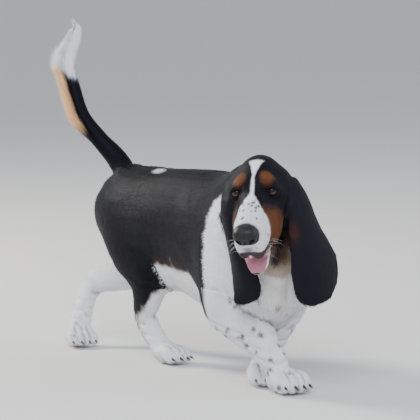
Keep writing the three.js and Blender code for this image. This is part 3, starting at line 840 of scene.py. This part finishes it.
def toe_grooves(p):
    """The clefts between the toes, as a depth in millimetres."""
    depth = np.zeros(len(p))
    for x, y, heading, scale in PAWS.values():
        turn = math.radians(heading)
        ahead = ((y - p[:, 1]) * math.cos(turn) - (p[:, 0] - x) * math.sin(turn)) / scale
        aside = ((p[:, 0] - x) * math.cos(turn) + (y - p[:, 1]) * math.sin(turn)) / scale
        near = smooth(-4, 12, ahead) * smooth(56, 48, ahead) * smooth(40, 30, np.abs(aside))
        near = near * smooth(46, 38, p[:, 2])
        for i in (-1, 0, 1):
            fan = i * TOE_PITCH * (0.8 + ahead * 0.006)
            depth = np.maximum(depth, near * bell((aside - fan) / 2.3) * 2.6)
    return depth


def eye_places():
    return {side: np.array(box_centre(f"eye_{side}")) for side in SIDES}


def eye_axes(side):
    """The way the eye looks, its outward side and its upper side, in the head's frame."""
    sign = -1 if side == "left" else 1
    gaze = np.array([0.16 * sign, 0.86, 0.48])
    gaze /= np.linalg.norm(gaze)
    outward = np.array([sign, 0.0, 0.0])
    outward -= gaze * (outward @ gaze)
    outward /= np.linalg.norm(outward)
    upper = np.array([0, 0, 1.0]) - gaze * gaze[2]
    upper -= outward * (upper @ outward)
    return gaze, outward, upper / np.linalg.norm(upper)


# The lids' opening: its half width, and how far it reaches above and below the middle
LID_WIDTH = 7.6
LID_RISE = 2.6
LID_DROOP = 5.0


def lid_shape(across, height):
    """1 on the rim of the opening, less inside it. The outer corner hangs lower."""
    height = height + 0.12 * across
    return (across / LID_WIDTH) ** 2 + (height / np.where(height > 0, LID_RISE, LID_DROOP)) ** 2


def carved_eyes(points):
    """Opens the lids round each eye: points in the opening go behind the ball, the rim stands on it."""
    points = points.copy()
    for side, centre in eye_places().items():
        gaze, outward, upper = eye_axes(side)
        q = (points - centre) @ HEAD_TURN_ARRAY / MM
        near = np.linalg.norm(q, axis=1) < 30
        w = q[near]
        radius = np.linalg.norm(w, axis=1)
        ahead = w @ gaze / radius
        flat = EYE_RADIUS / radius
        shape = lid_shape(w @ outward * flat, w @ upper * flat)
        facing = ahead > 0.2
        inside = smooth(1.3, 0.8, shape) * facing
        rim = smooth(5.5, 1.2, shape) * facing
        seat = EYE_RADIUS + 1.6 + 1.4 * smooth(1.2, 3.5, shape)
        target = radius + (seat - radius) * rim * 0.9
        target = target + (EYE_RADIUS - 3.2 - target) * inside
        points[near] = centre + (w / radius[:, None] * target[:, None]) * MM @ HEAD_TURN_ARRAY.T
    return points


def paint_colours(piece, colours):
    attribute = piece.data.color_attributes.new("Coat", "FLOAT_COLOR", "POINT")
    rgba = np.ones((len(colours), 4), dtype=np.float32)
    rgba[:, :3] = colours
    attribute.data.foreach_set("color", rgba.ravel())


def unwrap(piece):
    """An unwrap of the skin's own shape, named for the bake."""
    piece.data.uv_layers.new(name="OFBake")
    bpy.context.view_layer.objects.active = piece
    for other in bpy.context.selected_objects:
        other.select_set(False)
    piece.select_set(True)
    bpy.ops.object.mode_set(mode="EDIT")
    bpy.ops.mesh.select_all(action="SELECT")
    bpy.ops.uv.smart_project(angle_limit=math.radians(72), island_margin=0.002)
    bpy.ops.object.mode_set(mode="OBJECT")
    piece.select_set(False)


def corners_of(piece):
    """The points of each triangle and their places on the unwrap, in the same order."""
    corners = np.empty(len(piece.data.loops), dtype=np.int64)
    piece.data.loops.foreach_get("vertex_index", corners)
    places = np.empty(len(corners) * 2)
    piece.data.uv_layers["OFBake"].data.foreach_get("uv", places)
    return corners.reshape(-1, 3), places.reshape(-1, 3, 2)


# Coat

TUFTS_IN_PIECE = 60_000
MARKING_BLUR = 1.0 * MM
BRUSH_LIFT = 0.42
TUFT_ROOT_DEPTH = 0.6 * MM
TUFT_HEIGHT = 0.5 * MM

# Half the size of a tuft's patch on the unwrap
UV_PATCH = 0.0015


def grow_coat(skin, shade, count):
    """Covers a skin with flat tapered tufts, and gives the pieces."""
    points = read_mesh(skin.data)[0]
    triangles, uvs = corners_of(skin)
    normals = vertex_normals(points, triangles)
    corners = points[triangles]
    centre = corners.mean(axis=1)
    labels = regions(centre)
    density, length = styled(centre, normals[triangles[:, 0]], masks(labels))
    area = np.linalg.norm(np.cross(corners[:, 1] - corners[:, 0], corners[:, 2] - corners[:, 0]), axis=1)
    weight = area * density
    draw = np.random.default_rng(SEED + 50)
    face = draw.choice(len(centre), count, p=weight / weight.sum())
    a, b = draw.random(count), draw.random(count)
    flip = a + b > 1
    a, b = np.where(flip, 1 - a, a), np.where(flip, 1 - b, b)
    share = np.stack([1 - a - b, a, b], 1)
    root = np.einsum("ij,ijk->ik", share, corners[face])
    up = np.einsum("ij,ijk->ik", share, normals[triangles[face]])
    up /= np.linalg.norm(up, axis=1, keepdims=True)
    is_in = masks(labels[face])
    along = lie(root, up, is_in)
    turn = draw.normal(0, 0.17, count)[:, None]
    along = along * np.cos(turn) + np.cross(up, along) * np.sin(turn)
    colours = markings(root + draw.normal(0, MARKING_BLUR, root.shape), up, is_in)
    # Painted shade: each tuft takes the skin's darkening in its creases and grooves
    colours *= np.einsum("ij,ij->i", share, shade[triangles[face]])[:, None]
    size = length[face] * draw.uniform(0.7, 1.25, count) * MM
    width = draw.uniform(0.5, 0.9, count) * MM * np.clip(length[face] / 10, 0.35, 1.2)
    lift = draw.uniform(0.05, 0.18, count) + tail_brush(to_build(root), up, is_in) * BRUSH_LIFT
    tufts = {
        "root": root,
        "up": up,
        "along": along,
        "across": np.cross(up, along),
        "size": size[:, None],
        "width": width[:, None],
        "lift": lift[:, None],
        "colours": colours,
        "uv": np.einsum("ij,ijk->ik", share, uvs[face]),
    }
    order = np.argsort(labels[face], kind="stable")
    pieces = []
    for start in range(0, count, TUFTS_IN_PIECE):
        part = {key: values[order[start : start + TUFTS_IN_PIECE]] for key, values in tufts.items()}
        pieces.append(tuft_piece(f"short_coat_{len(pieces) + 1}", draw, **part))
    return pieces


def styled(place, normals, is_in):
    """How dense and long the hair is: longer on thighs, belly and tail, sparse on lips, lids and soles."""
    density = np.zeros(len(place))
    length = np.zeros(len(place))
    for kind, (hair, cover) in HAIR.items():
        density = np.where(is_in(kind), cover, density)
        length = np.where(is_in(kind), hair, length)
    p = to_build(place)
    length = length + is_in("thigh") * smooth(0.2, 0.8, normals[:, 1]) * 7
    length = length + is_in("torso") * smooth(0.3, 0.9, -normals[:, 2]) * 5
    brush = tail_brush(p, normals, is_in)
    length = length + brush * (8 + 17 * smooth(590, 540, p[:, 2]))
    density = density * (1 + brush * 1.2)
    near_eye = np.zeros(len(place))
    for centre in eye_places().values():
        near_eye = np.maximum(near_eye, smooth(18, 13, np.linalg.norm(place - centre, axis=1) / MM))
    density = density * (1 - 0.97 * near_eye) * (1 - in_mouth(place, is_in))
    muzzle = is_in("face") & (to_head(place)[:, 1] > 40)
    length = np.where(muzzle, length * 0.75, length)
    sole = is_in("paw") & (p[:, 2] < 4)
    return np.where(sole, density * 0.05, density), length


def tail_brush(p, normals, is_in):
    """How much a point lies on the tail's feathered side, which faces back and to the dog's right."""
    back = np.array([-0.75, 0.62, -0.25])
    facing = smooth(0.15, 0.75, normals @ (back / np.linalg.norm(back)))
    return is_in("tail") * facing * smooth(390, 430, p[:, 2])


def tuft_piece(name, draw, root, up, along, across, size, width, lift, colours, uv):
    """One piece of the coat: each tuft is a flat blade of three triangles, wide at its root."""
    count = len(root)
    start = root - up * TUFT_ROOT_DEPTH
    middle = start + along * size * 0.5 + up * (size * 0.5 * lift + TUFT_HEIGHT)
    tip = start + along * size + up * (size * lift * 0.75 + TUFT_HEIGHT)
    blade = [
        start - across * width / 2,
        start + across * width / 2,
        middle - across * width * 0.42,
        middle + across * width * 0.42,
        tip,
    ]
    points = np.stack(blade, 1).reshape(-1, 3)
    points[:, 2] = np.maximum(points[:, 2], 0.4 * MM)
    base = (np.arange(count) * len(blade))[:, None]
    faces = np.stack([base + [0, 3, 1], base + [0, 2, 3], base + [2, 4, 3]], 1).reshape(-1, 3)
    piece = new_object(name, points, faces)
    shade = draw.uniform(0.86, 1.12, count)[:, None, None]
    # Painted shade: each blade darker at its root, where the tufts shade each other, and a little lighter
    # at its tip
    steps = np.array([0.9, 0.9, 1.0, 1.0, 1.06])[None, :, None]
    warm = 1 + draw.normal(0, 0.015, (count, 1, 3))
    paint_colours(piece, (colours[:, None, :] * shade * steps * warm).reshape(-1, 3))
    layer = piece.data.uv_layers.new(name="OFBake")
    patch = np.array([[-1, -1], [1, -1], [-1, 0.3], [1, 0.3], [0, 1]]) * UV_PATCH
    spread = (uv[:, None, :] + patch[None]).reshape(-1, 2)
    layer.data.foreach_set("uv", np.clip(spread[faces.ravel()], 0, 1).ravel())
    soft = up[:, None, :] + (along * 0.25)[:, None, :] * np.array([-1, -1, 0, 0, 1])[None, :, None]
    side = across[:, None, :] * np.array([-0.35, 0.35, -0.35, 0.35, 0])[None, :, None]
    piece.data.normals_split_custom_set_from_vertices((soft + side).reshape(-1, 3).tolist())
    return piece


# Materials


def new_material(name, roughness, specular):
    material = bpy.data.materials.new(name)
    material.use_nodes = True
    shader = material.node_tree.nodes["Principled BSDF"]
    shader.inputs["Roughness"].default_value = roughness
    shader.inputs["Specular IOR Level"].default_value = specular
    return material, shader


def add_bump(shader, scale, strength, distance, detail):
    tree = shader.id_data
    noise = tree.nodes.new("ShaderNodeTexNoise")
    noise.inputs["Scale"].default_value = scale
    noise.inputs["Detail"].default_value = detail
    coordinates = tree.nodes.new("ShaderNodeTexCoord")
    tree.links.new(coordinates.outputs["Object"], noise.inputs["Vector"])
    bump = tree.nodes.new("ShaderNodeBump")
    bump.inputs["Strength"].default_value = strength
    bump.inputs["Distance"].default_value = distance
    tree.links.new(noise.outputs["Fac"], bump.inputs["Height"])
    tree.links.new(bump.outputs["Normal"], shader.inputs["Normal"])
    return noise


def use_painted_colours(shader):
    tree = shader.id_data
    attribute = tree.nodes.new("ShaderNodeVertexColor")
    attribute.layer_name = "Coat"
    tree.links.new(attribute.outputs["Color"], shader.inputs["Base Color"])


def spread_colour(noise, shader, dark, light):
    tree = shader.id_data
    ramp = tree.nodes.new("ShaderNodeValToRGB")
    low, high = ramp.color_ramp.elements
    low.position = 0.35
    low.color = (*dark, 1)
    high.position = 0.65
    high.color = (*light, 1)
    tree.links.new(noise.outputs["Fac"], ramp.inputs["Fac"])
    tree.links.new(ramp.outputs["Color"], shader.inputs["Base Color"])


def coat_material(name, roughness):
    material, shader = new_material(name, roughness, 0.09)
    shader.inputs["Specular Tint"].default_value = (0.70, 0.82, 1.0, 1)
    use_painted_colours(shader)
    return material


def skin_material():
    material = coat_material("skin", 0.6)
    add_bump(material.node_tree.nodes["Principled BSDF"], 420, 0.35, 0.001, 5)
    return material


def eye_material():
    material, shader = new_material("wet eye", 0.08, 0.35)
    use_painted_colours(shader)
    return material


def nose_material():
    material, shader = new_material("nose leather", 0.42, 0.24)
    noise = add_bump(shader, 620, 0.6, 0.0008, 2)
    spread_colour(noise, shader, (0.006, 0.006, 0.007), (0.020, 0.019, 0.022))
    return material


def tongue_material():
    material, shader = new_material("tongue", 0.38, 0.5)
    shader.inputs["Subsurface Weight"].default_value = 0.2
    shader.inputs["Subsurface Radius"].default_value = (0.004, 0.0015, 0.001)
    noise = add_bump(shader, 900, 0.4, 0.0006, 3)
    spread_colour(noise, shader, (0.36, 0.12, 0.17), (0.50, 0.21, 0.28))
    return material


def claw_material():
    material, shader = new_material("claw horn", 0.35, 0.5)
    noise = add_bump(shader, 260, 0.2, 0.0004, 2)
    spread_colour(noise, shader, (0.016, 0.013, 0.012), (0.07, 0.055, 0.048))
    return material


def plain_material(name, roughness, specular, colour):
    material, shader = new_material(name, roughness, specular)
    shader.inputs["Base Color"].default_value = (*colour, 1)
    return material


# Small parts: finer ones in the place of their solids, and the whiskers


def finer(name, node, voxel, rounds, material):
    points, triangles = remeshed(name, *node_arrays(node), voxel)
    piece = new_object(name, relaxed(points, triangles, rounds), triangles)
    piece.data.materials.append(material)
    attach(piece, "root")
    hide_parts(node)


def ball_angles(rings, around):
    """For each point of a ball, its angle from the front and its turn about the front."""
    turns = [2 * math.pi * j / around for j in range(around)]
    return [(math.pi * i / rings, turn) for i in range(rings + 1) for turn in turns]


def ring_faces(rings, around):
    """Triangles between rings that have the same number of points."""
    faces = []
    for i in range(rings):
        for j in range(around):
            a = i * around + j
            b = i * around + (j + 1) % around
            faces += [(a, b, a + around), (b, b + around, a + around)]
    return faces


def make_tongue():
    """Rounder and narrower towards the tip than its solid, with a hollow along the middle."""
    points, triangles = remeshed("tongue_flesh", *node_arrays("tongue"), 1.5 * MM)
    q = to_head(relaxed(points, triangles, 40))
    low, high = q.min(axis=0), q.max(axis=0)
    middle = (low[0] + high[0]) / 2
    across = (q[:, 0] - middle) / (high[0] - middle)
    towards_tip = smooth(low[2] + 30, low[2], q[:, 2])
    q[:, 2] += towards_tip * across**2 * 7
    q[:, 0] = middle + (q[:, 0] - middle) * (1 - 0.14 * towards_tip) - 5
    q[:, 1] -= bell(across / 0.16) * 1.3 * smooth(high[1] - 40, high[1] - 10, q[:, 1])
    piece = new_object("tongue_flesh", from_head(q), triangles)
    piece.data.materials.append(tongue_material())
    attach(piece, "root")
    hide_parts("tongue")


# The nose pad, as built: its centre, half sizes and tilt in the head's frame
NOSE_CENTRE = np.array([0, 108, -11])
NOSE_RADII = np.array([22, 15.5, 19])
NOSE_TILT = math.radians(-14)


def make_nose():
    """A squarish pad, narrower below, with a groove down the middle and nostrils open to the sides."""
    rings, around = 60, 90
    rays = [
        (math.sin(angle) * math.cos(turn), math.cos(angle), math.sin(angle) * math.sin(turn))
        for angle, turn in ball_angles(rings, around)
    ]
    ray = np.array(rays)
    squarer = np.sum(np.abs(ray) ** 2.7, axis=1) ** (-1 / 2.7)
    x, y, z = (ray * squarer[:, None] * 0.96).T
    x = x * (1 - 0.16 * smooth(0.1, -0.9, z))
    groove = bell(x / 0.055) * smooth(0.2, -0.4, z) * smooth(0, 0.5, y)
    side = np.abs(x)
    pit = bell(((side - 0.50) / 0.19) ** 2 + ((z + 0.16 - (side - 0.5) * 0.5) / 0.21) ** 2)
    y = y - 0.10 * groove - 0.42 * pit * smooth(0, 0.5, y)
    place = np.stack([x, y, z], 1) * NOSE_RADII
    turn = np.array(Euler((NOSE_TILT, 0, 0)).to_matrix())
    place = place @ turn.T + NOSE_CENTRE
    piece = new_object("nose_leather", from_head(place), np.array(ring_faces(rings, around)))
    piece.data.materials.append(nose_material())
    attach(piece, "root")
    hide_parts("nose")


WHISKERS = 12
WHISKER_LENGTH = 26
WHISKER_DROOP = 3.0

# Where a whisker is along its length, and half its thickness there
WHISKER_RINGS = ((-0.08, 0.2), (0.5, 0.13), (1.0, 0.04))
WHISKER_FACES = np.array(ring_faces(2, 3) + [(0, 2, 1), (6, 7, 8)])


def whisker(root, along, length):
    """The points of a thin tapering spike with three sides."""
    across = np.cross(along, [0, 0, 1])
    across /= np.linalg.norm(across)
    third = np.cross(along, across)
    points = []
    for share, half in WHISKER_RINGS:
        droop = np.array([0, 0, WHISKER_DROOP * MM * max(share, 0) ** 2])
        middle = root + along * length * share - droop
        for k in range(3):
            angle = k * 2 * math.pi / 3
            points.append(middle + (across * math.cos(angle) + third * math.sin(angle)) * half * MM)
    return points


def make_whiskers():
    """Pale stiff hairs on both flews."""
    draw = np.random.default_rng(SEED + 80)
    skin = surface_of("head")
    points, faces = [], []
    for i in range(WHISKERS):
        sign = 1 if i % 2 else -1
        start = np.array([sign * 60, draw.uniform(62, 100), draw.uniform(-58, -34)])
        inward = Vector(HEAD_TURN_ARRAY @ np.array([-sign, 0, 0]))
        hit = skin.ray_cast(Vector(HEAD_TURN_ARRAY @ start * MM) + HEAD_PLACE, inward, 0.1)
        lean = Vector((sign * 0.75, draw.uniform(-0.5, 0.1), draw.uniform(-0.7, 0.0)))
        along = np.array((HEAD_TURN @ lean).normalized())
        faces.append(WHISKER_FACES + len(points))
        points += whisker(np.array(hit[0]), along, WHISKER_LENGTH * draw.uniform(0.6, 1) * MM)
    piece = new_object("whiskers", np.array(points), np.vstack(faces))
    piece.data.materials.append(plain_material("whisker", 0.4, 0.4, (0.7, 0.68, 0.65)))
    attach(piece, "root")


# The eye's rings by their angle from the gaze, in radians
PUPIL = 0.27
IRIS = 0.62
IRIS_RIM = 0.70


def eye_colour(angle, turn):
    """Red haw below, a dark pupil in a streaked brown iris, and a dark rim in the white."""
    if math.sin(angle) * math.sin(turn) < -0.26 and angle < 1.2:
        return 0.12, 0.036, 0.034
    if angle < PUPIL:
        return 0.003, 0.003, 0.004
    if angle < IRIS:
        streak = 0.8 + 0.3 * math.sin(turn * 17) * math.sin(turn * 7 + 1)
        return 0.022 * streak, 0.009 * streak, 0.004 * streak
    if angle < IRIS_RIM:
        return 0.012, 0.006, 0.005
    return 0.10, 0.06, 0.05


def make_eye(side, material):
    centre = Vector(eye_places()[side])
    gaze, outward, upper = (HEAD_TURN @ Vector(way) for way in eye_axes(side))
    rings, around = 28, 40
    points, colours = [], []
    for angle, turn in ball_angles(rings, around):
        bulge = 0.6 * math.exp(-((angle / 0.55) ** 2))
        across = outward * math.sin(angle) * math.cos(turn) + upper * (math.sin(angle) * math.sin(turn))
        ray = across + gaze * math.cos(angle)
        points.append(centre + ray * (EYE_RADIUS - 0.4 + bulge) * MM)
        colours.append(eye_colour(angle, turn))
    faces = ring_faces(rings, around)
    if side == "right":
        faces = [face[::-1] for face in faces]
    piece = new_object(f"eyeball_{side}", np.array(points), np.array(faces))
    paint_colours(piece, np.array(colours))
    piece.data.materials.append(material)
    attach(piece, "root")
    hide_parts(f"eye_{side}")


# Stage


def aim(thing, target):
    direction = Vector(target) - thing.location
    thing.rotation_euler = direction.to_track_quat("-Z", "Y").to_euler()


def make_camera():
    data = bpy.data.cameras.new("camera")
    data.sensor_width = SENSOR
    data.lens = FOCAL_SHARE * SENSOR
    camera = bpy.data.objects.new("camera", data)
    bpy.context.scene.collection.objects.link(camera)
    target = Vector((SHIFT.x, SHIFT.y, VIEW_TARGET_HEIGHT))
    back = Vector(
        (
            math.sin(VIEW_AZIMUTH) * math.cos(VIEW_HEIGHT),
            -math.cos(VIEW_AZIMUTH) * math.cos(VIEW_HEIGHT),
            math.sin(VIEW_HEIGHT),
        )
    )
    camera.location = target + back * VIEW_DISTANCE
    aim(camera, target)
    bpy.context.scene.camera = camera


def make_floor():
    reach = 400
    corners = np.array([[-1, -1, 0], [1, -1, 0], [1, 1, 0], [-1, 1, 0]]) * float(reach)
    floor = new_object("floor", corners, np.array([[0, 1, 2], [0, 2, 3]]))
    floor.data.materials.append(plain_material("pale floor", 0.9, 0.2, (0.66, 0.655, 0.64)))


def add_light(name, place, size, power, colour):
    data = bpy.data.lights.new(name, "AREA")
    data.size = size
    data.energy = power
    data.color = colour
    light = bpy.data.objects.new(name, data)
    light.location = place
    bpy.context.scene.collection.objects.link(light)
    aim(light, (0, 0, 0.25))


def make_lights():
    add_light("key", (-2.4, -3.2, 3.0), 2.4, 190, (0.86, 0.93, 1.0))
    add_light("fill", (3.2, -2.6, 1.8), 3.0, 80, (0.92, 0.95, 1.0))
    add_light("rim", (-1.9, 3.2, 2.6), 1.0, 260, (1.0, 0.93, 0.84))
    world = bpy.data.worlds.new("sky")
    world.use_nodes = True
    background = world.node_tree.nodes["Background"]
    background.inputs["Color"].default_value = (0.82, 0.87, 0.95, 1)
    background.inputs["Strength"].default_value = 0.85
    bpy.context.scene.world = world


def dress_flesh():
    """The skin and its coat."""
    points, triangles = make_skin()
    skin = new_object("skin", points, triangles)
    unwrap(skin)
    is_in = masks(regions(points))
    normals = vertex_normals(points, triangles)
    # Painted shade: colour darker in creases and grooves, on the skin and on every tuft
    shade = 1 - 0.5 * hollows(points, triangles, normals)
    paint_colours(skin, markings(points, normals, is_in) * shade[:, None] * 0.9)
    skin.data.materials.append(skin_material())
    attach(skin, "root")
    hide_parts(*FLESH)
    hair = coat_material("short coat", 0.46)
    for tuft in grow_coat(skin, shade, TUFTS):
        tuft.data.materials.append(hair)
        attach(tuft, "root")


make_camera()
make_floor()
make_lights()
dress_flesh()
WET_EYE = eye_material()
for eye_side in SIDES:
    make_eye(eye_side, WET_EYE)
make_nose()
make_whiskers()
make_tongue()
HORN = claw_material()
for node in [name for name in frame["nodes"] if name.startswith("claw_")]:
    finer(f"{node}_horn", node, 0.0009, 2, HORN)
